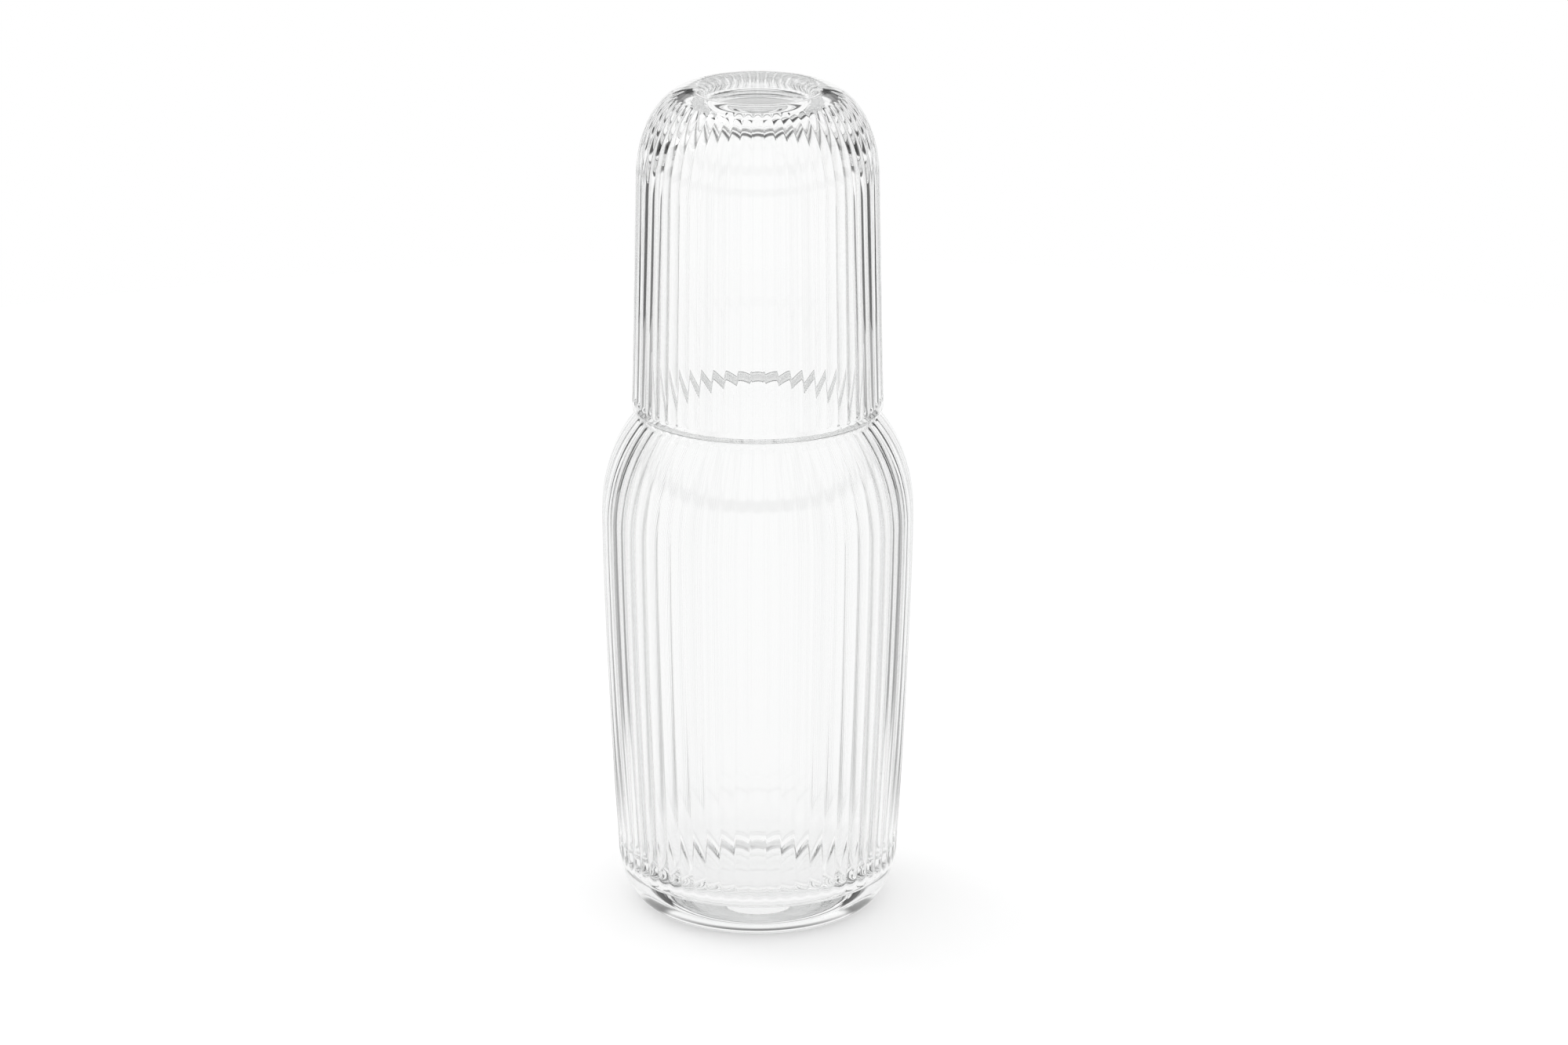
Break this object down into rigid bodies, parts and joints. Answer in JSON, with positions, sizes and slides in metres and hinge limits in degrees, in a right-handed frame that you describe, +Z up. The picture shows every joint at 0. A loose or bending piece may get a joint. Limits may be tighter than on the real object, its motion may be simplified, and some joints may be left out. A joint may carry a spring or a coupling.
{
  "type": "bedside carafe with tumbler",
  "caption": "Clear reeded glass water carafe with a wide mouth, and a reeded tumbler that stands upside down over the mouth as its cover and lifts off.",
  "frame": {"origin": "middle of the carafe's foot, on the surface that it stands on", "axes": "+Z up along the common axis of carafe and tumbler, from the carafe's foot to the tumbler's foot ring; X and Y across, with a reed's ridge on +X"},
  "size_m": [0.08, 0.08, 0.2165],
  "materials": {
    "carafe_glass": "clear, fire polished, reeded outside and smooth inside",
    "tumbler_glass": "clear, fire polished, reeded outside and smooth inside"
  },
  "bodies": {
    "carafe": {"carafe": "carafe_glass"},
    "tumbler": {"tumbler": "tumbler_glass"}
  },
  "joints": [
    {"name": "tumbler_lift", "type": "slide", "parent": "carafe", "child": "tumbler", "axis": [0, 0, 1], "range_m": [0, 0.06]}
  ]
}
